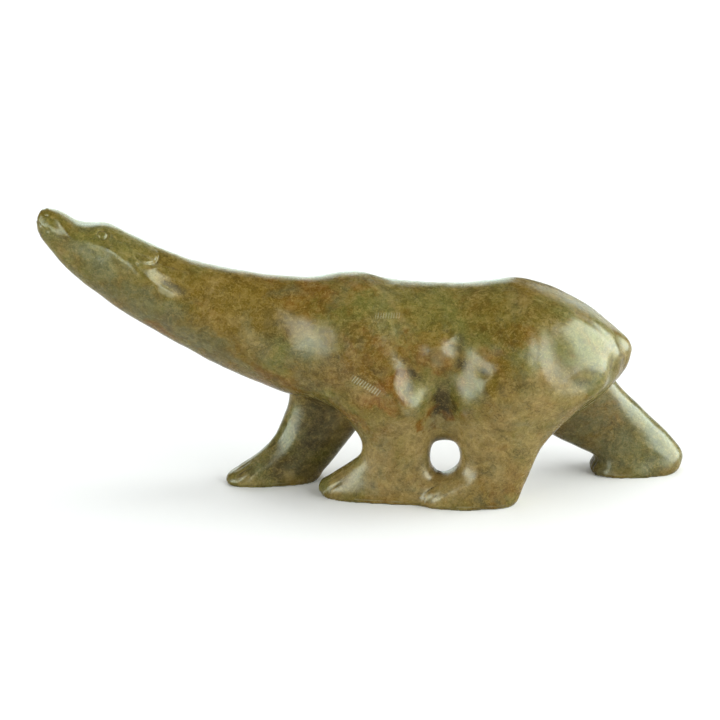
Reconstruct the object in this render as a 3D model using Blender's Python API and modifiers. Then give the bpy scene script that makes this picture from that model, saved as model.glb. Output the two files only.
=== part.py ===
"""A walking polar bear in cast bronze, one solid casting with its head stretched up and forwards.

Metres, +Z up. The bear faces -X, so its left side is -Y. It stands on Z = 0 on four flat soles, and
the origin is at the middle of its footprint box. Every proportion table is in hundredths of LENGTH.
"""

import math

import bmesh
import bpy
import numpy as np
from mathutils import Euler, Matrix, Vector

LENGTH = 0.400  # from the nose to the heel of the trailing hind foot
UNIT = LENGTH / 100  # the step of the proportion tables

FUSE_VOXEL = 0.30  # grain of the fused clay, in units
CREASE_PASSES = 70  # how far the valleys between the forms are filled
SURFACE_TRIANGLES = 9500  # of the finished solid
SHARP_EDGE = math.radians(50)  # the rim of a sole

RING_POINTS = 40  # points round each section
SPAN_STEPS = 5  # sections between two stations of a table
BELOW_SOLE = 1.2  # how far the feet run down before the soles are cut flat, in units

# Head, neck and trunk in one sweep. Each station is a section between the top line and the under line:
# x and z of the top, x and z of the bottom, half width, squareness (2 is an ellipse), and how far below
# its middle the section is widest, in halves of its height.
TRUNK = (
    (-49.2, 43.6, -49.4, 42.1, 0.9, 2.0, 0.0),
    (-48.8, 44.6, -49.2, 41.3, 1.8, 2.3, 0.0),
    (-47.3, 45.0, -48.6, 40.3, 2.3, 2.3, -0.2),
    (-45.6, 44.4, -47.3, 38.8, 2.7, 2.3, -0.3),
    (-44.2, 43.5, -46.0, 37.0, 3.0, 2.2, -0.35),
    (-42.7, 42.8, -44.7, 35.5, 3.4, 2.1, -0.35),
    (-41.1, 42.5, -43.3, 34.2, 3.9, 2.1, -0.35),
    (-39.6, 42.6, -41.8, 32.9, 4.4, 2.1, -0.35),
    (-37.7, 42.1, -40.1, 31.7, 4.8, 2.1, -0.35),
    (-35.0, 40.6, -37.6, 29.7, 5.1, 2.1, -0.35),
    (-30.6, 38.6, -33.6, 27.1, 5.2, 2.1, -0.3),
    (-24.6, 36.6, -27.1, 23.2, 5.4, 2.0, -0.2),
    (-16.9, 35.0, -18.6, 18.8, 6.0, 2.0, -0.05),
    (-10.1, 34.3, -11.1, 16.0, 7.3, 2.1, 0.1),
    (-6.0, 34.4, -6.4, 15.1, 8.5, 2.1, 0.15),
    (-2.5, 35.0, -2.4, 13.0, 9.4, 2.1, 0.18),
    (0.2, 34.9, 0.6, 11.3, 9.8, 2.1, 0.18),
    (4.0, 34.0, 4.4, 9.8, 9.9, 2.1, 0.18),
    (9.3, 33.4, 9.4, 9.0, 9.8, 2.1, 0.18),
    (15.0, 33.2, 15.0, 8.7, 9.7, 2.1, 0.18),
    (19.6, 33.6, 19.6, 9.4, 9.7, 2.1, 0.16),
    (23.2, 34.1, 22.8, 10.0, 9.8, 2.1, 0.14),
    (26.3, 33.6, 25.6, 10.6, 9.8, 2.2, 0.08),
    (29.4, 32.5, 28.2, 11.2, 9.5, 2.3, 0.03),
    (32.5, 30.9, 30.8, 12.0, 8.9, 2.4, 0.0),
    (35.6, 29.1, 33.6, 13.2, 7.8, 2.4, 0.0),
    (38.7, 26.8, 36.6, 15.0, 6.0, 2.3, 0.0),
    (41.2, 24.6, 39.4, 17.6, 3.8, 2.1, 0.0),
    (42.2, 23.2, 41.3, 19.8, 1.3, 2.0, 0.0),
)

# Legs, from the sole up into the body. Each station is a level section from front to back:
# z, x and y of the front, x and y of the back, half width, squareness.
LEFT_FORELEG = (
    (0.0, -6.2, -2.6, 12.4, -5.4, 3.9, 2.8),
    (1.6, -6.5, -2.6, 12.8, -5.4, 3.9, 2.6),
    (3.3, -4.5, -3.0, 12.8, -5.5, 3.7, 2.4),
    (4.4, -2.9, -3.3, 12.2, -5.5, 3.6, 2.3),
    (5.3, -1.7, -3.6, 11.2, -5.6, 3.6, 2.3),
    (6.9, -0.1, -4.2, 10.8, -5.6, 3.6, 2.2),
    (8.8, 0.2, -4.6, 11.0, -5.6, 3.7, 2.2),
    (10.9, -0.4, -4.9, 11.1, -5.7, 3.9, 2.2),
    (13.6, -2.2, -5.2, 11.3, -5.8, 4.2, 2.2),
    (16.3, -4.2, -5.3, 11.5, -6.0, 4.5, 2.2),
    (21.0, -6.0, -4.8, 11.0, -5.6, 4.6, 2.2),
    (28.0, -4.0, -3.6, 7.0, -4.2, 3.6, 2.2),
)
RIGHT_FORELEG = (
    (0.0, -21.2, 2.6, -6.4, 5.0, 3.9, 2.8),
    (1.2, -21.2, 2.6, -5.9, 5.0, 3.9, 2.6),
    (2.5, -19.5, 2.7, -4.7, 5.0, 3.7, 2.4),
    (4.2, -16.6, 3.1, -3.4, 5.1, 3.5, 2.3),
    (6.6, -14.0, 3.7, -1.5, 5.3, 3.5, 2.2),
    (9.2, -12.6, 4.3, 0.4, 5.5, 3.8, 2.2),
    (12.3, -11.4, 4.7, 2.2, 5.7, 4.2, 2.2),
    (15.6, -11.0, 4.9, 4.0, 5.8, 4.5, 2.2),
    (21.0, -9.0, 4.6, 6.0, 5.6, 4.6, 2.2),
    (28.0, -5.0, 3.6, 5.0, 4.2, 3.6, 2.2),
)
LEFT_HINDLEG = (
    (0.0, 9.2, -6.6, 24.2, -6.4, 4.1, 2.8),
    (1.2, 8.9, -6.6, 24.8, -6.4, 4.2, 2.6),
    (2.8, 10.0, -6.6, 25.4, -6.4, 4.1, 2.4),
    (4.2, 12.4, -6.5, 26.0, -6.4, 4.0, 2.3),
    (5.4, 14.4, -6.5, 26.4, -6.4, 3.9, 2.2),
    (7.0, 15.5, -6.5, 27.0, -6.4, 3.9, 2.2),
    (9.4, 14.9, -6.5, 28.1, -6.4, 4.2, 2.2),
    (12.0, 14.6, -6.4, 30.2, -6.3, 4.5, 2.1),
    (15.6, 15.4, -6.2, 33.9, -6.1, 4.9, 2.1),
    (18.6, 16.6, -6.0, 37.4, -5.8, 5.1, 2.1),
    (22.0, 18.4, -5.6, 38.0, -5.2, 4.9, 2.1),
    (25.5, 21.0, -5.0, 36.0, -4.6, 4.4, 2.1),
    (29.5, 24.5, -4.2, 32.0, -4.0, 3.0, 2.0),
)
RIGHT_HINDLEG = (
    (0.0, 37.0, 8.4, 50.6, 9.0, 4.8, 2.8),
    (1.2, 36.6, 8.5, 51.5, 9.1, 4.7, 2.6),
    (2.4, 38.0, 8.7, 51.8, 9.3, 4.4, 2.3),
    (3.4, 36.4, 8.7, 51.4, 9.4, 4.2, 2.3),
    (5.2, 32.5, 8.6, 50.0, 9.3, 4.1, 2.2),
    (7.0, 29.3, 8.3, 48.4, 9.0, 4.1, 2.2),
    (10.3, 25.0, 7.6, 45.1, 8.3, 4.3, 2.1),
    (14.2, 22.8, 6.9, 41.4, 7.4, 4.7, 2.1),
    (18.5, 21.5, 6.2, 38.4, 6.2, 4.9, 2.1),
    (24.0, 22.5, 5.4, 36.0, 5.2, 4.7, 2.1),
    (29.0, 26.0, 4.2, 32.0, 4.0, 3.0, 2.0),
)

# Swellings and hollows worked into the fused skin: centre, radii, turn about Y in degrees, and how far
# the skin rises there (below 0 it sinks). Each fades out as a bell.
FORMS = {
    "left_shoulder": ((1.5, -9.6, 24.5), (7.5, 4.0, 6.5), 0, 0.4),
    "left_arm": ((5.0, -9.6, 20.6), (4.2, 3.0, 2.8), 38, 0.4),
    "left_elbow": ((7.4, -10.0, 16.4), (3.0, 3.0, 3.4), 0, 1.3),
    "left_flank": ((12.2, -9.6, 25.0), (3.0, 3.0, 2.4), 0, 0.9),
    "left_elbow_hollow": ((12.6, -8.6, 17.0), (2.3, 3.0, 5.4), 0, -1.8),
    "left_knee": ((20.6, -10.8, 19.4), (5.6, 3.6, 6.0), 0, 1.7),
    "left_thigh_hollow": ((26.2, -10.0, 24.0), (2.4, 3.0, 7.5), 9, -0.7),
    "left_rump": ((31.2, -8.8, 24.0), (6.0, 4.0, 6.6), 0, 0.8),
    "right_shoulder": ((-0.5, 9.6, 24.5), (7.0, 4.0, 6.5), 0, 0.4),
    "right_elbow": ((3.2, 10.0, 17.4), (3.2, 3.0, 3.4), 0, 0.9),
    "right_elbow_hollow": ((8.4, 8.4, 16.4), (2.6, 3.0, 5.0), 0, -1.1),
    "right_knee": ((24.0, 10.6, 15.8), (4.2, 3.0, 5.2), 0, 1.2),
    "right_thigh_hollow": ((26.2, 9.8, 25.0), (2.4, 3.0, 7.0), 9, -0.7),
    "right_rump": ((31.6, 8.6, 24.0), (6.0, 4.0, 6.6), 0, 0.8),
    "left_tail_groove": ((40.4, -2.8, 23.0), (2.4, 1.2, 3.6), 30, -0.6),
    "right_tail_groove": ((40.4, 2.8, 23.0), (2.4, 1.2, 3.6), 30, -0.6),
    "left_cheek": ((-34.0, -4.6, 37.8), (4.2, 2.0, 1.4), 31, 0.4),
    "right_cheek": ((-34.0, 4.6, 37.8), (4.2, 2.0, 1.4), 31, 0.4),
    "left_temple": ((-36.3, -3.4, 40.4), (2.8, 1.5, 1.2), 31, -0.35),
    "right_temple": ((-36.3, 3.4, 40.4), (2.8, 1.5, 1.2), 31, -0.35),
    "left_ear": ((-32.4, -3.0, 38.6), (1.6, 1.6, 1.4), 25, 0.45),
    "right_ear": ((-32.4, 3.0, 38.6), (1.6, 1.6, 1.4), 25, 0.45),
    "left_eye": ((-39.4, -2.9, 41.3), (0.8, 0.9, 0.7), 0, -0.35),
    "right_eye": ((-39.4, 2.9, 41.3), (0.8, 0.9, 0.7), 0, -0.35),
    "left_nostril": ((-48.6, -1.1, 43.9), (0.7, 0.6, 0.6), 0, -0.35),
    "right_nostril": ((-48.6, 1.1, 43.9), (0.7, 0.6, 0.6), 0, -0.35),
    "mouth": ((-49.0, 0.0, 42.4), (1.7, 3.0, 0.45), 20, -0.3),
}

# Toes: the middle of the toe line on top of each foot, and the way the foot points, in degrees from -X.
TOES = {
    "left_fore": ((-4.6, -2.9, 2.6), -10),
    "right_fore": ((-19.2, 2.8, 2.2), 10),
    "left_hind": ((10.6, -6.5, 2.2), 0),
    "right_hind": ((37.8, 8.8, 1.2), 3),
}
TOE_GROOVES = (-1.9, 0.0, 1.9)  # how far each groove lies from the middle of the foot
GROOVE_RADII = (1.8, 0.55, 1.8)  # along the toe, across it and down
GROOVE_DEPTH = 0.35


def clear_scene():
    for obj in list(bpy.data.objects):
        bpy.data.objects.remove(obj, do_unlink=True)


def through_stations(stations):
    """Sections between the stations of a table, on a Catmull-Rom curve through each of its columns."""
    rows = np.array(stations, float)
    before = 2 * rows[0] - rows[1]
    after = 2 * rows[-1] - rows[-2]
    knots = np.vstack([before, rows, after])
    t = np.linspace(0, 1, SPAN_STEPS, endpoint=False)[:, None]
    spans = [
        p1
        + 0.5 * (p2 - p0) * t
        + (p0 - 2.5 * p1 + 2 * p2 - 0.5 * p3) * t**2
        + (1.5 * (p1 - p2) + 0.5 * (p3 - p0)) * t**3
        for p0, p1, p2, p3 in zip(knots, knots[1:], knots[2:], knots[3:])
    ]
    return np.vstack([*spans, rows[-1:]])


def section(first, last, half_width, squareness, sag=0.0):
    """A closed ring of points between two ends, bulging half_width to each side along Y. It is widest
    sag of the way from its middle to the last end."""
    angle = np.linspace(0, 2 * math.pi, RING_POINTS, endpoint=False)
    along = np.sign(np.cos(angle)) * np.abs(np.cos(angle)) ** (2 / squareness)
    across = np.sign(np.sin(angle)) * np.abs(np.sin(angle)) ** (2 / squareness)
    along = along - sag * (1 - along**2)
    middle = (first + last) / 2
    reach = (first - last) / 2
    side = np.array([0.0, half_width, 0.0])
    return middle + np.outer(along, reach) + np.outer(across, side)


def add_loft(clay, rings):
    """Skins a row of rings into the clay and closes both ends."""
    rows = [[clay.verts.new(point * UNIT) for point in ring] for ring in rings]
    for low, high in zip(rows, rows[1:]):
        for i in range(RING_POINTS):
            j = (i + 1) % RING_POINTS
            clay.faces.new((low[i], low[j], high[j], high[i]))
    clay.faces.new(rows[0])
    clay.faces.new(rows[-1])


def add_trunk(clay):
    rings = [
        section(np.array([xt, 0, zt]), np.array([xb, 0, zb]), half_width, squareness, sag)
        for xt, zt, xb, zb, half_width, squareness, sag in through_stations(TRUNK)
    ]
    add_loft(clay, rings)


def add_leg(clay, stations):
    sole = stations[0]
    rows = [(-BELOW_SOLE, *sole[1:]), *through_stations(stations)]
    rings = [
        section(np.array([xf, yf, z]), np.array([xb, yb, z]), half_width, squareness)
        for z, xf, yf, xb, yb, half_width, squareness in rows
    ]
    add_loft(clay, rings)


def baked(obj):
    """The object's mesh with its modifiers applied, in its place."""
    graph = bpy.context.evaluated_depsgraph_get()
    mesh = bpy.data.meshes.new_from_object(obj.evaluated_get(graph))
    obj.modifiers.clear()
    obj.data = mesh
    return mesh


def points_and_normals(mesh):
    points = np.empty(len(mesh.vertices) * 3, np.float32)
    normals = np.empty_like(points)
    mesh.vertices.foreach_get("co", points)
    mesh.vertex_normals.foreach_get("vector", normals)
    return points.reshape(-1, 3), normals.reshape(-1, 3)


def move_points(mesh, points):
    mesh.vertices.foreach_set("co", points.astype(np.float32).ravel())
    mesh.update()


def fill_creases(mesh):
    """Wipes clay into the valleys between the forms: a point moves towards the mean of its neighbours,
    but only outwards, so ridges and thin ends keep their size."""
    ends = np.empty(len(mesh.edges) * 2, np.int32)
    mesh.edges.foreach_get("vertices", ends)
    one, other = ends.reshape(-1, 2).T
    neighbours = np.bincount(ends, minlength=len(mesh.vertices))[:, None]
    for _ in range(CREASE_PASSES):
        points, normals = points_and_normals(mesh)
        around = np.empty_like(points)
        for axis in range(3):
            around[:, axis] = np.bincount(one, points[other, axis], len(points))
            around[:, axis] += np.bincount(other, points[one, axis], len(points))
        step = around / neighbours - points
        outwards = np.maximum((step * normals).sum(axis=1, keepdims=True), 0)
        move_points(mesh, points + normals * outwards)


def bell(points, centre, radii, turn):
    """1 at the centre, fading to 0 beyond the radii of a turned ellipsoid."""
    into_form = np.array(turn.to_matrix().transposed())
    offset = (points / UNIT - np.array(centre)) @ into_form.T
    return np.exp(-((offset / np.array(radii)) ** 2).sum(axis=1))


def work_forms(mesh):
    """Raises and sinks the skin along its normals by the bells of FORMS and of the toe grooves."""
    points, normals = points_and_normals(mesh)
    rise = np.zeros(len(points))
    for centre, radii, tilt, height in FORMS.values():
        turn = Euler((0, math.radians(tilt), 0))
        rise += height * bell(points, centre, radii, turn)
    for (x, y, z), heading in TOES.values():
        turn = Euler((0, 0, math.radians(heading)))
        sideways = turn.to_matrix() @ Vector((0, 1, 0))
        for offset in TOE_GROOVES:
            centre = Vector((x, y, z)) + sideways * offset
            rise -= GROOVE_DEPTH * bell(points, centre, GROOVE_RADII, turn)
    move_points(mesh, points + normals * (rise * UNIT)[:, None])


def fuse(clay):
    """One closed skin round all the overlapping forms, with its valleys filled."""
    obj = bpy.data.objects.new("polar_bear", bpy.data.meshes.new("polar_bear"))
    bpy.context.scene.collection.objects.link(obj)
    bmesh.ops.recalc_face_normals(clay, faces=clay.faces)
    clay.to_mesh(obj.data)
    remesh = obj.modifiers.new("fuse", "REMESH")
    remesh.mode = "VOXEL"
    remesh.voxel_size = FUSE_VOXEL * UNIT
    fill_creases(baked(obj))
    smooth = obj.modifiers.new("soften", "SMOOTH")
    smooth.factor = 0.5
    smooth.iterations = 6
    work_forms(baked(obj))
    return obj


def thin_out(obj):
    triangles = sum(len(face.vertices) - 2 for face in obj.data.polygons)
    decimate = obj.modifiers.new("thin_out", "DECIMATE")
    decimate.ratio = SURFACE_TRIANGLES / triangles
    baked(obj)


def cut_soles(obj):
    """Cuts every foot flat at Z = 0 and closes the cut."""
    bear = bmesh.new()
    bear.from_mesh(obj.data)
    bmesh.ops.bisect_plane(
        bear,
        geom=[*bear.verts, *bear.edges, *bear.faces],
        dist=1e-6,
        plane_co=(0, 0, 0),
        plane_no=(0, 0, 1),
        clear_inner=True,
    )
    open_edges = [edge for edge in bear.edges if edge.is_boundary]
    bmesh.ops.contextual_create(bear, geom=open_edges)
    bmesh.ops.recalc_face_normals(bear, faces=bear.faces)
    bear.to_mesh(obj.data)
    bear.free()


def centre_on_footprint(obj):
    corners = [Vector(corner) for corner in obj.bound_box]
    low = [min(corner[axis] for corner in corners) for axis in range(2)]
    high = [max(corner[axis] for corner in corners) for axis in range(2)]
    shift = Vector((-(low[0] + high[0]) / 2, -(low[1] + high[1]) / 2, 0))
    obj.data.transform(Matrix.Translation(shift))


def bronze():
    material = bpy.data.materials.new("bronze")
    material.use_nodes = True
    shader = material.node_tree.nodes["Principled BSDF"]
    shader.inputs["Base Color"].default_value = (0.19, 0.13, 0.045, 1)
    shader.inputs["Metallic"].default_value = 0.6
    shader.inputs["Roughness"].default_value = 0.32
    return material


def main():
    clear_scene()
    clay = bmesh.new()
    add_trunk(clay)
    for stations in (LEFT_FORELEG, RIGHT_FORELEG, LEFT_HINDLEG, RIGHT_HINDLEG):
        add_leg(clay, stations)
    bear = fuse(clay)
    clay.free()
    thin_out(bear)
    cut_soles(bear)
    centre_on_footprint(bear)
    bear.data.materials.append(bronze())
    bear.data.shade_smooth()
    bear.data.set_sharp_from_angle(angle=SHARP_EDGE)


main()
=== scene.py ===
import math

import bmesh
import bpy
import numpy as np
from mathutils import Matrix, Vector


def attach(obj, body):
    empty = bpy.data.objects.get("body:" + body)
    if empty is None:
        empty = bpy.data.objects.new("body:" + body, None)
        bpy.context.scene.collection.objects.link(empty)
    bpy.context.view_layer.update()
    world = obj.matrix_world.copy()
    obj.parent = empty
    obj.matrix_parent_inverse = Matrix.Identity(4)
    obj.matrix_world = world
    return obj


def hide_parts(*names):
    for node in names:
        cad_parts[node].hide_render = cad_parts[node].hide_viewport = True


# A walking polar bear cast in bronze under clear wax. Metres, +Z up; the bear faces -X and its left
# side is -Y. Carving is written in millimetres: a place on both sides of the body is (x, s, z), with s
# the distance from the plane through the middle of the body.

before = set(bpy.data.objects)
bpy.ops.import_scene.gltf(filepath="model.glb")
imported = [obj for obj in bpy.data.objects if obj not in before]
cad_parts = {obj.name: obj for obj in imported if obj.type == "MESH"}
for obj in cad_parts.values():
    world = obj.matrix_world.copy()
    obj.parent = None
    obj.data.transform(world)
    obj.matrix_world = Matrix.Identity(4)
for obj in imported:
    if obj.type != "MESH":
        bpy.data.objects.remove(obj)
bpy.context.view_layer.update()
mm = 0.001


# Reading and writing meshes

def readValues(source, name, width, kind=np.float32):
    values = np.empty(len(source) * width, kind)
    source.foreach_get(name, values)
    return values.reshape(-1, width)


def meshPoints(mesh):
    return readValues(mesh.vertices, "co", 3).astype(float)


def meshNormals(mesh):
    return readValues(mesh.vertex_normals, "vector", 3).astype(float)


def meshEdges(mesh):
    return readValues(mesh.edges, "vertices", 2, np.int32)


def movePoints(mesh, points):
    mesh.vertices.foreach_set("co", points.astype(np.float32).ravel())
    mesh.update()


def applied(obj):  # the mesh with its modifiers in it, put back on the object
    graph = bpy.context.evaluated_depsgraph_get()
    mesh = bpy.data.meshes.new_from_object(obj.evaluated_get(graph))
    obj.modifiers.clear()
    obj.data = mesh
    return mesh


def neighbourMean(points, ends):
    # For each point the mean of the points that share an edge with it
    one, other = ends.T
    total = len(points)
    sums = [
        np.bincount(one, points[other, axis], total) + np.bincount(other, points[one, axis], total)
        for axis in range(points.shape[1])
    ]
    return np.stack(sums, axis=1) / np.bincount(ends.ravel(), minlength=total)[:, None]


# Shapes for the carving, most of them a number from 0 to 1 for every point

def turned(points, centre, turn):
    # Offsets from a centre, along axes turned about Y by so many degrees, nose down
    angle = math.radians(turn)
    x, y, z = (points - np.array(centre)).T
    along = x * math.cos(angle) - z * math.sin(angle)
    up = x * math.sin(angle) + z * math.cos(angle)
    return along, y, up


def radiusSquared(points, centre, radii, turn=0):
    # The square of the distance from the centre in radii; a pair of radii holds before it and after it
    total = 0
    for offset, radius in zip(turned(points, centre, turn), radii):
        size = np.where(offset < 0, *radius) if isinstance(radius, tuple) else radius
        total = total + (offset / size) ** 2
    return total


def mound(points, centre, radii, turn=0):
    # exp(-r squared), with r the distance from the centre in radii
    return np.exp(-radiusSquared(points, centre, radii, turn))


def lineDistance(points, line):
    # The distance from a bent line through a few points
    nearest = np.full(len(points), np.inf)
    corners = np.array(line, float)
    for start, end in zip(corners, corners[1:]):
        way = end - start
        share = np.clip((points - start) @ way / (way @ way), 0, 1)
        gap = np.linalg.norm(points - start - share[:, None] * way, axis=1)
        nearest = np.minimum(nearest, gap)
    return nearest


def groove(points, line, width):
    # exp(-d squared), with d the distance from a bent line in widths
    return np.exp(-((lineDistance(points, line) / width) ** 2))


def ring(radius, middle, width):
    # exp(-d squared), with d the distance from a round line in widths
    return np.exp(-(((radius - middle) / width) ** 2))


def ease(value, low, high):
    # 0 below low and 1 above high, with a smooth rise between
    share = np.clip((value - low) / (high - low), 0, 1)
    return share * share * (3 - 2 * share)


def rolling(points, wavelengths, count, seed):
    # A sum of plane waves in random directions, of height about 1
    draw = np.random.default_rng(seed)
    total = np.zeros(len(points))
    for _ in range(count):
        direction = draw.normal(size=3)
        direction /= np.linalg.norm(direction)
        length = draw.uniform(*wavelengths)
        total += np.sin(points @ direction * (2 * math.pi / length) + draw.uniform(0, 2 * math.pi))
    return total / math.sqrt(count)


def mounds(points, forms, turn):
    # The sum of mounds given as place, radii and rise
    return sum(rise * mound(points, place, radii, turn) for place, radii, rise in forms.values())


def grooves(points, lines):
    # The sum of grooves and ridges given as line, width and rise
    return sum(rise * groove(points, line, width) for line, width, rise in lines.values())


# The skin of the bear

skin = {
    "joinWithin": 1e-6,  # metres between points that are one
    "grain": 1.68,  # mm between the points of the net
    "evenPasses": 110,  # how often the facets are evened out
    "finePasses": 4,  # the same, after the net is divided again
    "evenIn": 0.6,
    "evenOut": -0.603,
    "soleSnap": 0.35,  # what is lower than this lies flat on the ground
    "middle": -3.7,  # y of the plane through the middle of the body
}
finer = (  # where the net is divided again, twice: places (x, s, z) with their reach in mm
    (
        ((-170.0, 0.0, 165.0), 56.0),
        ((-78.0, 6.0, 8.0), 17.0),
        ((-22.0, 19.0, 9.0), 17.0),
        ((39.0, 31.0, 9.0), 19.0),
        ((146.5, 34.0, 4.0), 15.0),
    ),
    (
        ((-160.8, 11.3, 167.7), 7.5),
        ((-134.4, 12.5, 155.5), 13.0),
        ((-203.0, 0.0, 176.0), 15.0),
    ),
)


def rebuilt(mesh, work):  # one step of bmesh on a mesh
    loose = bmesh.new()
    loose.from_mesh(mesh)
    work(loose)
    loose.to_mesh(mesh)
    loose.free()


def evened(points, ends, passes, where=1):
    # Each point goes a part of the way to the mean of its neighbours, then a little more of it back out
    for _ in range(passes):
        for step in (skin["evenIn"], skin["evenOut"]):
            points += where * step * (neighbourMean(points, ends) - points)
    return points


def plainSkin():
    # The solid's own surface, closed over with an even net of small faces and freed of its facets
    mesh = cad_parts["polar_bear"].data.copy()
    bear = bpy.data.objects.new("polarBear", mesh)
    bpy.context.scene.collection.objects.link(bear)
    near = skin["joinWithin"]
    rebuilt(mesh, lambda loose: bmesh.ops.remove_doubles(loose, verts=loose.verts, dist=near))
    net = bear.modifiers.new("net", "REMESH")
    net.mode = "VOXEL"
    net.voxel_size = skin["grain"] * mm
    mesh = applied(bear)
    movePoints(mesh, evened(meshPoints(mesh), meshEdges(mesh), skin["evenPasses"]))
    return bear


def divideFinely(bear, places):
    # Divides the faces near the places in four and rounds off what that leaves flat
    def inside(points):
        mirrored = points / mm
        mirrored[:, 1] = np.abs(mirrored[:, 1] - skin["middle"])
        within = [np.linalg.norm(mirrored - np.array(place), axis=1) < reach for place, reach in places]
        return np.any(within, axis=0)

    def divide(loose):
        edges = [edge for edge in loose.edges if near[edge.verts[0].index] and near[edge.verts[1].index]]
        bmesh.ops.subdivide_edges(loose, edges=edges, cuts=1, use_grid_fill=True)

    near = inside(meshPoints(bear.data))
    rebuilt(bear.data, divide)
    points = meshPoints(bear.data)
    fresh = inside(points)[:, None]
    movePoints(bear.data, evened(points, meshEdges(bear.data), skin["finePasses"], fresh))


# Planes worked flat with the file: place, the way each faces, half its length and height in mm, its slope
# in the picture of the side in degrees, how flat it is, and how far it also fills what lies behind it

planes = {
    "shoulder": ((-41.0, -30.4, 109.5), (-0.38, -0.87, 0.29), (20.0, 10.0), 25, 0.52, 0.35),
    "flank": ((49.0, -38.9, 103.0), (0.42, -0.83, 0.36), (11.0, 9.0), 0, 0.75, 0.35),
    "upperArm": ((2.0, -45.0, 83.0), (0.0, -0.955, 0.29), (24.0, 13.0), 20, 0.8, 0.35),
    "elbow": ((22.5, -43.4, 80.0), (0.44, -0.83, 0.34), (12.0, 13.0), 10, 0.95, 0.35),
    "thighTop": ((84.0, -46.0, 99.0), (0.02, -0.92, 0.38), (14.0, 9.0), 0, 0.7, 0.35),
    "thighFront": ((69.0, -41.8, 101.5), (0.0, -0.90, 0.43), (12.0, 6.5), 0, 0.85, 0.5),
    "haunchSide": ((109.0, -41.6, 96.5), (0.41, -0.84, 0.36), (18.0, 18.0), 10, 0.92, 0.7),
    "underRump": ((127.0, -41.8, 82.0), (0.36, -0.93, 0.08), (20.0, 12.0), 8, 0.9, 0.35),
    "kneeAbove": ((68.0, -44.2, 90.5), (-0.36, -0.88, 0.30), (12.0, 5.0), 8, 0.85, 0.7),
    "kneeFront": ((60.0, -44.6, 79.5), (-0.43, -0.855, 0.29), (7.5, 19.0), -6, 0.92, 0.8),
    "kneeFace": ((84.0, -50.0, 79.0), (0.02, -0.96, 0.27), (21.0, 13.0), 0, 0.95, 0.7),
    "fold": ((44.5, -35.4, 56.0), (0.0, -0.96, 0.27), (10.0, 12.0), 0, 0.85, 0.35),
    "foreleg": ((-39.0, 0.8, 26.0), (0.42, -0.90, 0.05), (12.0, 26.0), 20, 0.6, 0.35),
    "trailingLeg": ((176.0, 18.4, 20.0), (0.10, -0.99, 0.0), (34.0, 20.0), 40, 0.6, 0.35),
}
headPlanes = {  # the same on both sides of the head, given for the left
    "muzzleSide": ((-170.0, -18.2, 160.0), (-0.03, -0.99, 0.12), (20.0, 13.0), 20, 0.8, 0.8),
    "noseFront": ((-199.3, -3.7, 176.9), (-0.87, 0.0, 0.49), (6.0, 5.0), 0, 0.8, 0.0),
    "nose": ((-197.8, -8.8, 177.2), (-0.48, -0.82, 0.31), (4.5, 5.5), 0, 0.6, 0.8),
    "snout": ((-186.3, -13.9, 172.2), (-0.46, -0.83, 0.31), (9.0, 3.6), 42, 0.9, 1.0),
    "cheekKnob": ((-149.0, -22.1, 158.0), (0.36, -0.83, 0.42), (8.0, 4.0), 12, 0.95, 0.8),
    "cheekFront": ((-164.0, -20.0, 157.0), (-0.08, -0.99, 0.08), (9.0, 8.0), 0, 0.85, 0.5),
    "cheekEnd": ((-139.5, -23.8, 152.3), (0.38, -0.82, 0.42), (8.0, 4.2), 35, 0.95, 0.8),
    "jaw": ((-125.5, -23.7, 141.6), (0.42, -0.83, 0.36), (13.0, 4.2), 32, 0.95, 0.8),
}
planeDepth = 14.0  # how far a plane reaches across the body, in mm

# Muscles that hang lower than in the solid, and the round of the haunch: place (x, y, z), half sizes (two
# where it fades sooner towards one end), turn, rise in mm
muscles = {
    "upperArm": ((-10.0, -41.0, 65.0), (26.0, 14.0, 12.0), 14, 2.6),
    "elbow": ((18.0, -47.0, 61.0), (14.0, 12.0, 11.0), 10, 0.8),
    "elbowCap": ((16.0, -47.0, 80.0), (9.0, 9.0, 11.0), 0, 1.0),
    "flank": ((40.0, -38.0, 104.0), (9.0, 10.0, 9.0), 0, 1.2),
    "knee": ((84.0, -46.0, 60.0), (18.0, 12.0, 12.0), 0, 2.2),
    "kneeCap": ((74.0, -48.0, 83.0), (10.0, 9.0, 12.0), 0, 1.5),
    "shin": ((59.0, -44.0, 64.0), (9.0, 10.0, 9.0), 0, 2.0),
    "roof": ((42.0, -37.0, 91.0), (9.0, 9.0, 7.0), 0, 1.6),
    "haunch": ((93.0, -46.0, 94.0), ((24.0, 13.0), 14.0, 20.0), 10, 3.6),
    "behindHaunch": ((131.0, -35.0, 100.0), (15.0, 14.0, 20.0), 10, -1.6),
}


def flattened(points, facets):
    # Files the skin down to planes: a point moves along the plane's facing by a share of its distance
    # from the plane, and the share fades out as exp(-r squared), with r in half sizes from the centre
    for centre, facing, (halfLength, halfHeight), slope, flatness, filled in facets.values():
        facing = np.array(facing) / np.linalg.norm(facing)
        gap = (points - np.array(centre)) @ facing
        gap = np.where(gap > 0, gap, filled * gap)
        share = flatness * mound(points, centre, (halfLength, planeDepth, halfHeight), slope)
        points = points - (share * gap)[:, None] * facing
    return points


def planed(points):
    # The planes of the body, then those of the head, for which the right side is mirrored to the left
    points = flattened(points, planes)
    middle = np.array([0.0, skin["middle"], 0.0])
    mirror = np.ones_like(points)
    mirror[:, 1] = np.where(points[:, 1] < skin["middle"], 1.0, -1.0)
    left = flattened((points - middle) * mirror + middle, headPlanes)
    return (left - middle) * mirror + middle


# Carving on both sides of the head and neck: (x, s, z)

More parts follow.
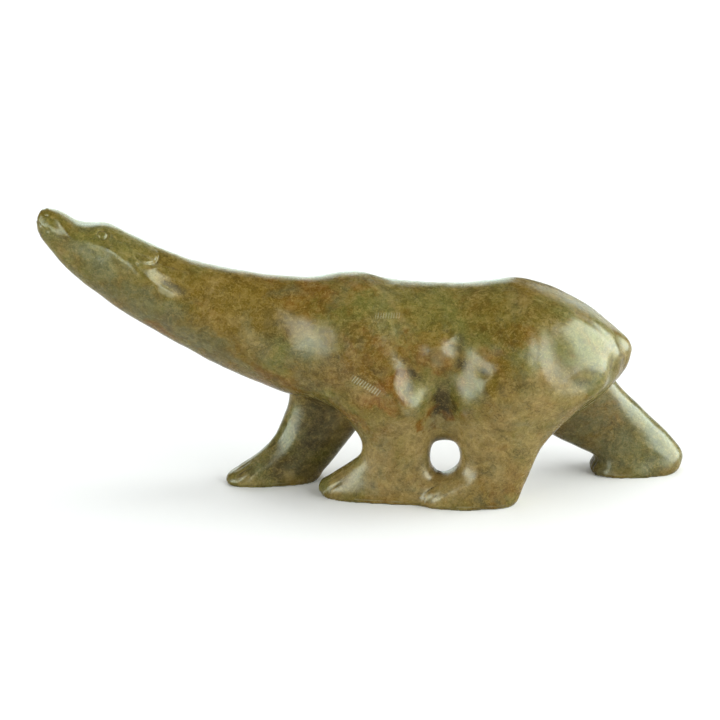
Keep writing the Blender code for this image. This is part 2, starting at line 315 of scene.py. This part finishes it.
headTilt = 18  # degrees that the top of the head runs down towards the neck
eye = {
    "centre": (-160.8, 9.6, 167.2),
    "halfSizes": (2.7, 2.2, 2.2),
    "bead": 0.95,  # rise in mm
    "lid": (1.8, 0.35, 0.28),  # how far out and how wide, in half sizes, and the rise in mm
    "lidLine": (1.25, 0.22, -0.22),
}
ear = {
    "centre": (-134.4, 11.0, 155.6),
    "halfSizes": (7.4, 8.8, 8.8),
    "rear": (-0.6, 0.9),  # where it begins and is whole, in half sizes, as the next two
    "lower": (0.0, 0.9),
    "upper": (0.1, 0.9),
    "upperFade": 0.85,  # the share of groove and rim that is gone at the upper edge
    "lobe": (0.1, 0.8),  # rise in mm in front, and what the rear has more
    "upperLobe": 0.4,  # the share of the lobe that doesn't fade with the rim
    "lobeEdge": (0.84, 1.08),
    "moat": (1.12, 0.13, -0.6),  # how far out and how wide, in half sizes, and the rise in mm
    "rim": (1.38, 0.16, 0.22),
    "underCrown": (7.0, 13.0),  # mm from the middle, so that nothing stands above the crown's outline
}
faceMounds = {
    "eyeSocket": ((-160.8, 9.6, 167.2), (5.0, 4.0, 4.0), -0.65),
    "brow": ((-160.5, 6.6, 170.0), (7.0, 3.6, 3.6), 0.3),
    "nosePad": ((-199.6, 0.0, 175.4), (3.2, 4.6, 4.4), 0.3),
    "nostril": ((-195.2, 5.6, 177.4), (1.7, 1.0, 0.9), -0.8),
    "nostrilWing": ((-194.0, 7.4, 178.0), (2.4, 1.2, 1.2), 0.2),
    "lipFold": ((-196.4, 8.2, 171.6), (2.0, 1.5, 1.4), 0.15),
    "lipCorner": ((-194.4, 9.6, 168.8), (1.5, 1.5, 1.2), -0.5),
}
faceLines = {
    "tear": (((-165.2, 12.4, 167.4), (-168.2, 13.4, 166.6)), 0.9, -0.25),
    "belowEye": (((-166.0, 16.2, 164.6), (-160.6, 16.4, 164.4), (-155.8, 14.6, 164.0)), 1.3, -0.25),
    "lips": (
        (
            (-201.4, 0.0, 173.6),
            (-200.4, 4.6, 173.0),
            (-199.0, 8.0, 171.6),
            (-196.4, 9.2, 169.6),
            (-191.6, 10.6, 166.2),
        ),
        0.75,
        -0.5,
    ),
}


def eyeCarving(points):
    # A bead exp(-r to the fourth) with a lid and a line before it as rings round it, r in half sizes
    radius = np.sqrt(radiusSquared(points, eye["centre"], eye["halfSizes"], headTilt))
    bead = eye["bead"] * np.exp(-(radius**4))
    lids = sum(rise * ring(radius, out, width) for out, width, rise in (eye["lid"], eye["lidLine"]))
    return bead + lids


def earCarving(points):
    # A small ear laid back: a lobe that grows out of the head in front and stands off it behind, with a
    # groove and a rim as rings round its rear and lower edge
    radius = np.sqrt(radiusSquared(points, ear["centre"], ear["halfSizes"], headTilt))
    offsets = turned(points, ear["centre"], headTilt)
    along, across, _ = (offset / size for offset, size in zip(offsets, ear["halfSizes"]))
    rearward = ease(along, *ear["rear"])
    lower = ease(across, *ear["lower"])
    upper = 1 - ear["upperFade"] * ease(-across, *ear["upper"])
    behind = np.clip(rearward + lower, 0, 1) * upper
    hidden = ease(points[:, 1], *ear["underCrown"])
    (front, more), kept = ear["lobe"], ear["upperLobe"]
    lobe = (front + more * rearward) * (kept + (1 - kept) * upper) * (1 - ease(radius, *ear["lobeEdge"]))
    (moatOut, moatWidth, moatRise), (rimOut, rimWidth, rimRise) = ear["moat"], ear["rim"]
    moat = moatRise * behind * ring(radius, moatOut, moatWidth)
    rim = rimRise * behind * ring(radius, rimOut, rimWidth)
    return moat + (lobe + rim) * hidden


skullMounds = {
    "stop": ((-176.0, 0.0, 174.0), (5.0, 9.0, 4.0), -0.5),
    "chin": ((-198.0, 0.0, 165.0), (6.0, 7.0, 4.0), -0.9),
}
skullRidges = {
    "cheek": (  # the bony ridge from under the eye to the neck
        (
            (-160.0, 19.6, 152.8),
            (-155.5, 19.8, 155.0),
            (-149.5, 20.2, 153.6),
            (-143.5, 21.0, 150.0),
            (-139.9, 21.4, 146.4),
            (-133.9, 21.4, 142.0),
            (-128.0, 21.2, 138.2),
            (-120.0, 20.8, 134.0),
        ),
        4.0,
        0.6,
    ),
    "neckSide": (  # the neck is widest low down
        (
            (-137.0, 20.4, 139.0),
            (-120.0, 20.0, 123.0),
            (-102.0, 20.6, 111.0),
            (-81.0, 21.7, 100.0),
            (-64.0, 24.4, 91.5),
        ),
        12.0,
        3.0,
    ),
}
crown = {  # the top of the head and neck is rounded
    "rise": (0.3, 0.8),  # mm along the snout and neck, and what the skull has more
    "fall": (0.012, 0.015),  # the same, for each square millimetre of distance from the middle
    "skull": (112, 130, 158, 174),  # distances in front of the origin where the skull begins and ends
    "from": (100, 120),
    "reach": 13.0,
    "upward": (0.15, 0.8),  # how far a point faces upwards: not at all a part of the top, and wholly
}


def skullCarving(points, upward):
    # Stop, chin, cheek ridge and neck, and a crown that rises by a - b s squared, up to its reach
    ahead, away = -points[:, 0], np.minimum(points[:, 1], crown["reach"])
    begin, whole, fade, end = crown["skull"]
    onSkull = ease(ahead, begin, whole) * (1 - ease(ahead, fade, end))
    (rise, skullRise), (fall, skullFall) = crown["rise"], crown["fall"]
    top = rise + skullRise * onSkull - (fall + skullFall * onSkull) * away * away
    top = top * ease(ahead, *crown["from"]) * ease(upward, *crown["upward"])
    return mounds(points, skullMounds, headTilt) + grooves(points, skullRidges) + top


# Carving on the left side: line through (x, y, z), width, rise in mm

leftSide = {
    "armRidge": (((-2.0, -42.0, 103.0), (6.0, -42.5, 99.0), (16.0, -43.5, 92.0)), 3.6, 0.45),
    "armEdge": (
        (
            (17.0, -41.5, 100.0),
            (25.5, -42.5, 91.5),
            (32.5, -42.5, 85.0),
            (34.5, -42.0, 77.0),
            (34.0, -42.0, 66.0),
        ),
        3.0,
        -0.28,
    ),
    "flankCrackAbove": (
        ((34.0, -34.3, 112.4), (38.0, -34.6, 111.4), (42.0, -34.0, 112.4), (48.6, -33.7, 111.6)),
        0.8,
        -0.25,
    ),
    "flankCrackBelow": (((38.0, -39.4, 104.4), (44.0, -39.4, 105.2), (51.0, -38.7, 104.2)), 0.8, -0.25),
    "thighCrack": (((94.0, -45.4, 88.4), (100.0, -46.0, 87.6), (108.0, -46.6, 88.4)), 0.8, -0.22),
    "thighScratch": (
        ((90.6, -50.2, 60.0), (93.0, -50.0, 66.0), (98.0, -49.6, 71.0), (104.0, -49.0, 74.0)),
        0.8,
        -0.2,
    ),
    "tailGroove": (
        (
            (128.0, -20.0, 119.0),
            (136.7, -21.1, 113.4),
            (146.0, -21.0, 103.5),
            (149.5, -22.0, 95.5),
            (148.0, -26.0, 88.0),
        ),
        3.0,
        -0.35,
    ),
    "tailFold": (((157.0, -14.0, 88.0), (152.0, -20.0, 87.0)), 1.0, -0.5),
}

toes = {  # the middle toe's knuckle (x, y, z), the way the foot points in degrees, mm between toes
    "leftFore": ((-21.5, -23.0, 8.0), -10, 4.6),
    "rightFore": ((-77.0, 2.5, 8.0), 10, 4.6),
    "leftHind": ((38.5, -35.0, 8.5), 0, 4.8),
    "rightHind": ((146.5, 31.0, 4.0), 3, 4.6),
}
toeForm = {
    "count": 5,
    "setBack": 0.16,  # how far each toe stands behind the one inside it, for each mm between them
    "knuckle": (4.6, 2.2, 5.0),
    "knuckleRise": 0.55,
    "cleft": (5.6, 0.75, 6.5),
    "cleftDepth": -0.55,
    "claw": (2.6, 0.7, 1.3),
    "clawRise": 0.6,
    "clawForward": 5.2,
    "clawDrop": 4.6,
}


def toeCarving(points):
    # On each foot a fan of knuckles, each with a claw in front and below, and clefts between them, all
    # of them mounds in the foot's own axes: forwards, sideways and up
    rise = 0
    for place, heading, pitch in toes.values():
        angle = math.radians(heading)
        forward = np.array([-math.cos(angle), -math.sin(angle), 0.0])
        sideways = np.array([-math.sin(angle), math.cos(angle), 0.0])
        frameOfFoot = np.stack([forward, sideways, np.array([0.0, 0.0, 1.0])])
        offsets = (points - np.array(place)) @ frameOfFoot.T
        middle = (toeForm["count"] - 1) / 2
        for toe in range(toeForm["count"]):
            across = (toe - middle) * pitch
            back = -toeForm["setBack"] * abs(across)
            claw = (back + toeForm["clawForward"], across, -toeForm["clawDrop"])
            rise += toeForm["knuckleRise"] * mound(offsets, (back, across, 0), toeForm["knuckle"])
            rise += toeForm["clawRise"] * mound(offsets, claw, toeForm["claw"])
            if toe:
                cleft = (back, across - pitch / 2, 0)
                rise += toeForm["cleftDepth"] * mound(offsets, cleft, toeForm["cleft"])
    return rise


soleEdge = {  # the soles are drawn in a little along their edges
    "inset": 0.9,
    "height": 1.3,
    "upright": (0.2, 0.6),  # how steep the skin is: not drawn in, and wholly
}
unevenness = {  # wavelengths in mm, number of waves, height in mm, seed
    "slow": ((22.0, 48.0), 26, 0.22, 3),
    "quick": ((7.0, 14.0), 30, 0.045, 4),
}
smoothHead = {"share": 0.35, "from": -110, "to": -150}  # it falls to this share between these x


def carved(points, normals):
    # Large forms first, then the planes, then the fine carving, each rise along the skin's own normal
    both = points.copy()
    both[:, 1] = np.abs(points[:, 1] - skin["middle"])
    large = skullCarving(both, normals[:, 2])
    large += sum(rise * mound(points, *form) for *form, rise in muscles.values())
    fine = mounds(both, faceMounds, headTilt) + grooves(both, faceLines)
    fine += eyeCarving(both) + earCarving(both) + grooves(points, leftSide) + toeCarving(points)
    onBody = ease(points[:, 0], smoothHead["to"], smoothHead["from"])
    share = smoothHead["share"] + (1 - smoothHead["share"]) * onBody
    for wavelengths, count, height, seed in unevenness.values():
        fine += height * share * rolling(points, wavelengths, count, seed)
    nearGround = np.exp(-((points[:, 2] / soleEdge["height"]) ** 2))
    fine -= soleEdge["inset"] * nearGround * ease(1 - np.abs(normals[:, 2]), *soleEdge["upright"])
    return planed(points + normals * large[:, None]) + normals * fine[:, None]


def onGround(points):
    # Soles flat on the ground, with nothing below it
    points[:, 2] = np.where(points[:, 2] < skin["soleSnap"] * mm, 0, points[:, 2])
    return points


hollowForm = {
    "near": 5,  # how often the skin is averaged for the small hollows, and for the wide ones
    "far": 60,
    "farPart": 12,  # the small ones hold this part of the wide ones
    "smallDepth": 0.25,  # mm for a full value
    "wideDepth": 2.4,
}


def hollows(mesh, passes):
    # How far each point lies below the mean of the skin round it, in mm, positive in a hollow
    points = meshPoints(mesh)
    ends = meshEdges(mesh)
    around = points.copy()
    for _ in range(passes):
        around = neighbourMean(around, ends)
    return ((around - points) * meshNormals(mesh)).sum(axis=1) / mm


def paintHollows(mesh):
    # wideHollow follows the large forms, and smallHollow is what is left without their share of it
    near, far = hollows(mesh, hollowForm["near"]), hollows(mesh, hollowForm["far"])
    small = (near - far / hollowForm["farPart"]) / hollowForm["smallDepth"]
    for name, values in (("smallHollow", small), ("wideHollow", far / hollowForm["wideDepth"])):
        layer = mesh.attributes.new(name, "FLOAT", "POINT")
        layer.data.foreach_set("value", np.clip(values, -1, 1).astype(np.float32))


def castBear():
    bear = plainSkin()
    for places in finer:
        divideFinely(bear, places)
        print("net of", len(bear.data.vertices), "points")
    mesh = bear.data
    points = carved(meshPoints(mesh) / mm, meshNormals(mesh)) * mm
    movePoints(mesh, onGround(points))
    paintHollows(mesh)
    rebuilt(mesh, lambda loose: bmesh.ops.triangulate(loose, faces=loose.faces))
    mesh.shade_smooth()
    mesh.materials.clear()
    print("bear", len(mesh.polygons), "triangles")
    return bear


# The bronze

class Wire:
    # A socket of the shader that takes part in sums; numbers beside it are taken as they are
    def __init__(self, tree, socket=None):
        self.tree = tree
        self.socket = socket

    def node(self, kind, settings, inputs, output=0):
        made = self.tree.nodes.new(kind)
        for name, value in settings.items():
            setattr(made, name, value)
        for name, value in inputs.items():
            if isinstance(value, Wire):
                self.tree.links.new(value.socket, made.inputs[name])
            else:
                made.inputs[name].default_value = value
        return Wire(self.tree, made.outputs[output])

    def maths(self, operation, *values):
        return self.node("ShaderNodeMath", {"operation": operation}, dict(enumerate(values)))

    def vectorMaths(self, operation, *values):
        return self.node("ShaderNodeVectorMath", {"operation": operation}, dict(enumerate(values)))

    def __add__(self, other):
        return self.maths("ADD", self, other)

    __radd__ = __add__

    def __sub__(self, other):
        return self.maths("SUBTRACT", self, other)

    def __rsub__(self, other):
        return self.maths("SUBTRACT", other, self)

    def __mul__(self, other):
        return self.maths("MULTIPLY", self, other)

    __rmul__ = __mul__

    def __abs__(self):
        return self.maths("ABSOLUTE", self)

    def sine(self):
        return self.maths("SINE", self)

    def between(self, low, high):  # 0 below low and 1 above high, with a smooth rise
        return self.node(
            "ShaderNodeMapRange",
            {"interpolation_type": "SMOOTHSTEP"},
            {"Value": self, "From Min": low, "From Max": high},
        )

    def tint(self, below, above):  # from one colour to the other as the value goes from 0 to 1
        inputs = {0: self}
        for place, colour in ((6, below), (7, above)):
            inputs[place] = colour if isinstance(colour, Wire) else (*colour, 1)
        return self.node("ShaderNodeMix", {"data_type": "RGBA"}, inputs, 2)


bronze = {
    "olive": (0.110, 0.104, 0.021),
    "ochre": (0.124, 0.076, 0.007),
    "rust": (0.136, 0.056, 0.003),
    "tan": (0.262, 0.186, 0.070),
    "greyGreen": (0.094, 0.098, 0.046),
    # umber is also the colour of painted shade in the hollows, between the legs and in the fold
    "umber": (0.028, 0.019, 0.003),
    "gold": (0.330, 0.240, 0.080),
    "paleGreen": (0.165, 0.168, 0.080),
    # pale of rubbed wear, and of painted highlight on raised edges
    "paleWearAndHighlight": (0.270, 0.255, 0.150),
    "waxIor": 1.25,
    "smoothest": 0.14,  # the roughness where nothing dulls the wax
    "bump": (0.35, 0.0005),  # strength, and metres for a full height
}
grains = {  # noises in the patina: scale for each metre, detail, roughness, distortion
    "drift": (45, 4, 0.6, 0.0),
    "clouds": (22, 7, 0.62, 0.3),
    "rustClouds": (34, 8, 0.68, 0.3),
    "greyClouds": (40, 8, 0.68, 0.4),
    "tanClouds": (55, 8, 0.68, 0.4),
    "patches": (48, 8, 0.68, 0.3),
    "smears": (60, 8, 0.72, 0.5),
    "mottle": (150, 6, 0.72, 0.2),
    "strokes": (430, 4, 0.7, 0.3),
    "speckle": (1100, 3, 0.7, 0.0),
    "hairs": (260, 4, 0.65, 0.4),
}
pushedBy = 0.045  # metres that the drift pushes the areas and strokes about
strokeShape = (0.35, 1.0, 1.0)  # the strokes are drawn out along the body
hairWidth = 0.022
veils = {  # what each layer holds: noise or hollow, where it begins and is whole, share
    "ochre": (("clouds", 0.38, 0.62, 1.0),),
    "rust": (("rustClouds", 0.48, 0.68, 0.9),),
    "greyGreen": (("greyClouds", 0.48, 0.70, 0.6),),
    "tan": (("tanClouds", 0.52, 0.70, 0.4),),
    # painted shade in the hollows, deeper where the skin lies below its surroundings
    "paintedHollowShade": (("smallHollow", 0.12, 0.7, 0.6), ("wideHollow", 0.2, 1.0, 0.3)),
    "glint": (("mottle", 0.48, 0.74, 0.15), ("strokes", 0.50, 0.68, 0.24), ("speckle", 0.54, 0.72, 0.27)),
    "hairGlint": (("strokes", 0.44, 0.60, 0.3),),
    "markGlint": (("mottle", 0.25, 0.5, 0.65),),
    # pale on raised edges: rubbed wear, and painted highlight on them
    "ridgeWearAndHighlight": (("smallRidge", 0.4, 1.0, 0.5),),
    "dull": (("mottle", 0.3, 0.7, 0.12), ("smears", 0.3, 0.6, 0.08), ("smallHollow", 0.0, 0.4, 0.1)),
}
shade = (  # the same, but full below the first value and none above the second
    ("smears", 0.28, 0.55, 0.35),
    ("mottle", 0.30, 0.58, 0.22),
    ("strokes", 0.36, 0.54, 0.28),
    ("speckle", 0.34, 0.5, 0.18),
)
relief = {"mottle": 0.5, "strokes": 0.4, "speckle": 0.12, "smears": 0.4, "marks": 0.5}
# Where the heat drew a colour out, and painted shade between the legs: middle (x, z), half length and
# height, slope, colour, strength
areas = {
    "head": ((-165, 162), (50, 24), -20, "olive", 1.0),
    "throat": ((-128, 122), (70, 9), -34, "greyGreen", 0.8),
    "nape": ((-88, 134), (56, 15), -17, "ochre", 0.85),
    "underBack": ((-37, 130), (24, 6), -2, "rust", 0.8),
    "breast": ((-42, 96), (34, 13), -28, "greyGreen", 0.6),
    "shoulder": ((-52, 118), (16, 14), 0, "ochre", 0.7),
    "saddle": ((40, 125), (40, 10), 0, "olive", 0.7),
    "upperArm": ((-4, 94), (26, 24), 0, "rust", 0.65),
    "flank": ((40, 98), (12, 9), 0, "rust", 0.9),
    "kneeFace": ((80, 80), (12, 13), 0, "ochre", 0.8),
    "haunch": ((95, 118), (30, 14), -10, "ochre", 0.7),
    "underRump": ((118, 88), (16, 8), 10, "rust", 0.6),
    "rump": ((140, 108), (22, 22), 0, "paleGreen", 0.25),
    "rightToes": ((-74, 7), (6, 5), 20, "gold", 0.5),
    "leftToes": ((-21, 7), (6, 5), 20, "gold", 0.5),
    "hindToes": ((38, 8), (6, 5), 0, "gold", 0.5),
    "leftLegs": ((35, 32), (70, 30), 0, "tan", 0.8),
    "thigh": ((105, 62), (26, 26), 0, "tan", 0.75),
    "trailingLeg": ((165, 35), (48, 40), 0, "greyGreen", 0.85),
    "leadingLeg": ((-60, 30), (40, 34), 0, "greyGreen", 0.4),
    # painted shade between the legs, in umber
    "betweenLegs": ((-36, 34), (15, 36), -25, "umber", 0.95),
}
leftAreas = {  # the same, on the left side alone
    "elbow": ((12, 75), (14, 10), -20, "rust", 1.7),
    # the umber in the fold is painted shade in the crease
    "fold": ((46, 68), (8, 11), 0, "umber", 1.2),
    "foldFoot": ((43, 56), (9, 6), 0, "rust", 1.8),
}
leftEdge = (-30, -20)  # y in mm: wholly on the left side, and no longer
areaEdge = {"fade": (0.2, 1.7), "patchy": (0.25, 0.62)}  # by the squared radius, and by the patches in it
# Short strokes side by side: middle (x, z), half the row, half a stroke, slope, pitch, strength
fileRows = {
    "shoulder": ((-1.5, 80.5), 10.5, 2.6, -28, 1.7, 1.0),
    "withers": ((12.0, 120.5), 9.0, 1.8, -3, 1.6, 0.5),
}
fileStroke = {"lean": 0.15, "wave": (0.0, 0.8), "rowEdge": 0.8, "strokeEdge": 0.6}


def alongAndAcross(x, z, middle, slope):
    # Offsets from a place in the picture of the side, along a line that slopes up towards the rear and
    # square to it
    turn = math.radians(slope)
    awayX, awayZ = x - middle[0] * mm, z - middle[1] * mm
    along = awayX * math.cos(turn) + awayZ * math.sin(turn)
    across = awayZ * math.cos(turn) - awayX * math.sin(turn)
    return along, across


def areaMask(x, z, middle, halves, slope):
    # 1 in a turned ellipse, fading with the squared radius in half sizes
    offsets = alongAndAcross(x, z, middle, slope)
    along, across = (offset * (1 / (half * mm)) for offset, half in zip(offsets, halves))
    return 1 - (along * along + across * across).between(*areaEdge["fade"])


def fileMarks(x, z):
    # The upper part of a sine along each row, in a window as long as the row and as high as a stroke
    marks = 0
    for middle, halfRow, halfStroke, slope, pitch, strength in fileRows.values():
        along, across = alongAndAcross(x, z, middle, slope)
        wave = ((along - across * fileStroke["lean"]) * (2 * math.pi / (pitch * mm))).sine()
        for offset, half, edge in ((along, halfRow, "rowEdge"), (across, halfStroke, "strokeEdge")):
            inner, outer = (fileStroke[edge] * half * mm) ** 2, (half * mm) ** 2
            strength = (1 - (offset * offset).between(inner, outer)) * strength
        marks = marks + wave.between(*fileStroke["wave"]) * strength
    return marks


def waxedBronze():
    material = bpy.data.materials.new("waxedBronze")
    material.use_nodes = True
    tree = material.node_tree
    shader = tree.nodes["Principled BSDF"]
    make = Wire(tree)
    place = make.node("ShaderNodeTexCoord", {}, {}, 3)

    def noise(name, at=place, output=0):
        scale, detail, roughness, distortion = grains[name]
        inputs = {"Vector": at, "Scale": scale, "Detail": detail}
        inputs |= {"Roughness": roughness, "Distortion": distortion}
        return make.node("ShaderNodeTexNoise", {}, inputs, output)

    def axis(vector, which):
        return make.node("ShaderNodeSeparateXYZ", {}, {0: vector}, which)

    def attribute(name):
        return make.node("ShaderNodeAttribute", {"attribute_name": name}, {}, 2)

    def veil(name):
        return sum(wires[source].between(low, high) * share for source, low, high, share in veils[name])

    # Places pushed about by a noise, so that no area has a drawn edge
    drift = make.vectorMaths("SUBTRACT", noise("drift", output=1), (0.5, 0.5, 0.5))
    shifted = make.vectorMaths("MULTIPLY_ADD", drift, (pushedBy,) * 3, place)
    x, z = axis(shifted, 0), axis(shifted, 2)
    plainX, plainY, plainZ = (axis(place, which) for which in range(3))
    left, notLeft = (edge * mm for edge in leftEdge)
    onLeft = 1 - plainY.between(left, notLeft)

    wires = {name: noise(name) for name in grains if name not in ("drift", "strokes")}
    wires["strokes"] = noise("strokes", make.vectorMaths("MULTIPLY", shifted, strokeShape))
    wires |= {name: attribute(name) for name in ("smallHollow", "wideHollow")}
    wires["smallRidge"] = 0 - wires["smallHollow"]
    wires["marks"] = fileMarks(plainX, plainZ) * onLeft
    hairs = 1 - abs(wires["hairs"] - 0.5).between(0.0, hairWidth)

    colour = veil("ochre").tint(bronze["olive"], bronze["ochre"])
    colour = veil("rust").tint(colour, bronze["rust"])
    patches = wires["patches"].between(*areaEdge["patchy"])
    for name, (middle, halves, slope, stain, strength) in (areas | leftAreas).items():
        inside = areaMask(x, z, middle, halves, slope)
        inside = inside * onLeft if name in leftAreas else inside
        colour = (inside * strength * patches).tint(colour, bronze[stain])
    colour = veil("greyGreen").tint(colour, bronze["greyGreen"])
    colour = veil("tan").tint(colour, bronze["tan"])
    darker = sum((1 - wires[source].between(low, high)) * share for source, low, high, share in shade)
    # Random darker patina from the noises, and painted shade in the hollows
    colour = (darker + veil("paintedHollowShade")).tint(colour, bronze["umber"])
    colour = (veil("glint") + hairs * veil("hairGlint")).tint(colour, bronze["gold"])
    # Raised edges paler: rubbed wear, and painted highlight on them
    colour = veil("ridgeWearAndHighlight").tint(colour, bronze["paleWearAndHighlight"])
    colour = (wires["marks"] * veil("markGlint")).tint(colour, bronze["paleWearAndHighlight"])

    height = sum(part * wires[name] for name, part in relief.items())
    firmness, depth = bronze["bump"]
    bump = make.node("ShaderNodeBump", {}, {"Strength": firmness, "Distance": depth, "Height": height})
    roughness = bronze["smoothest"] + veil("dull")
    for name, wire in {"Base Color": colour, "Roughness": roughness, "Normal": bump}.items():
        tree.links.new(wire.socket, shader.inputs[name])
    shader.inputs["IOR"].default_value = bronze["waxIor"]
    return material


# Ground, light and camera

studio = {
    "groundSize": 9.0,
    "groundWhite": (0.83, 0.825, 0.83, 1),
    "groundRoughness": 0.9,
    "groundShine": 0.1,
    "sky": (0.10, 0.104, 0.107, 1),
    "aim": (-0.00495, -0.00371, 0.0842),
    "elevation": 17.0,
    "distance": 1.6,
    "lens": 129.2,
    "farthest": 50,  # metres that the camera sees
}
lamps = {  # degrees to the right of the camera, degrees up, distance, width, height, glow, glow in the wax
    "left": (-56, 14, 1.8, 2.1, 1.0, 4.0, 14.5),
    "right": (76, 22, 1.8, 2.9, 1.5, 4.3, 18.0),
    "back": (192, 20, 2.0, 1.3, 1.5, 1.4, 2.8),
    "behindRump": (153, 22, 2.1, 0.6, 1.5, 0.0, 2.0),
    "top": (180, 66, 2.6, 3.4, 3.0, 1.25, 0.0),
}
lampColours = ((0.97, 1.0, 0.98), (0.84, 1.0, 0.94))  # on what is matt, and in the wax
lampReach = (2.0, 1.0)  # likewise, how often as far and as large as written, which lights the far floor
wattsPerGlow = 4.0  # for each square metre of a lamp


def ground():
    half = studio["groundSize"] / 2
    mesh = bpy.data.meshes.new("ground")
    corners = [(-half, -half, 0), (half, -half, 0), (half, half, 0), (-half, half, 0)]
    mesh.from_pydata(corners, [], [(0, 1, 2, 3)])
    floor = bpy.data.objects.new("ground", mesh)
    bpy.context.scene.collection.objects.link(floor)
    material = bpy.data.materials.new("whitePaper")
    material.use_nodes = True
    shader = material.node_tree.nodes["Principled BSDF"]
    shader.inputs["Base Color"].default_value = studio["groundWhite"]
    shader.inputs["Roughness"].default_value = studio["groundRoughness"]
    shader.inputs["Specular IOR Level"].default_value = studio["groundShine"]
    mesh.materials.append(material)


def lighting():
    # Each lamp stands twice in one direction, once for what is matt and once for what is seen in the wax
    target = Vector(studio["aim"])
    for name, (azimuth, elevation, distance, width, height, *glows) in lamps.items():
        side, up = math.radians(azimuth), math.radians(elevation)
        away = Vector((math.sin(side) * math.cos(up), -math.cos(side) * math.cos(up), math.sin(up)))
        for glow, inWax in zip(glows, (False, True)):
            reach = lampReach[inWax]
            light = bpy.data.lights.new(name, "AREA")
            light.shape = "RECTANGLE"
            light.size = width * reach
            light.size_y = height * reach
            light.energy = glow * wattsPerGlow * light.size * light.size_y
            light.color = lampColours[inWax]
            lamp = bpy.data.objects.new(name, light)
            lamp.location = target + away * distance * reach
            lamp.rotation_euler = (-away).to_track_quat("-Z", "Y").to_euler()
            lamp.visible_glossy = inWax
            lamp.visible_diffuse = not inWax
            bpy.context.scene.collection.objects.link(lamp)
    world = bpy.data.worlds.new("studio")
    world.use_nodes = True
    world.node_tree.nodes["Background"].inputs["Color"].default_value = studio["sky"]
    bpy.context.scene.world = world


def camera():
    lens = bpy.data.cameras.new("camera")
    lens.lens = studio["lens"]
    lens.clip_end = studio["farthest"]
    viewer = bpy.data.objects.new("camera", lens)
    slope = math.radians(studio["elevation"])
    back = Vector((0, -math.cos(slope), math.sin(slope))) * studio["distance"]
    viewer.location = Vector(studio["aim"]) + back
    viewer.rotation_euler = (-back).to_track_quat("-Z", "Y").to_euler()
    bpy.context.scene.collection.objects.link(viewer)
    bpy.context.scene.camera = viewer


camera()
ground()
lighting()
bpy.context.scene.view_settings.view_transform = "Standard"
print("studio set")
bear = castBear()
bear.data.materials.append(waxedBronze())
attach(bear, "root")
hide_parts("polar_bear")
print("dressed")
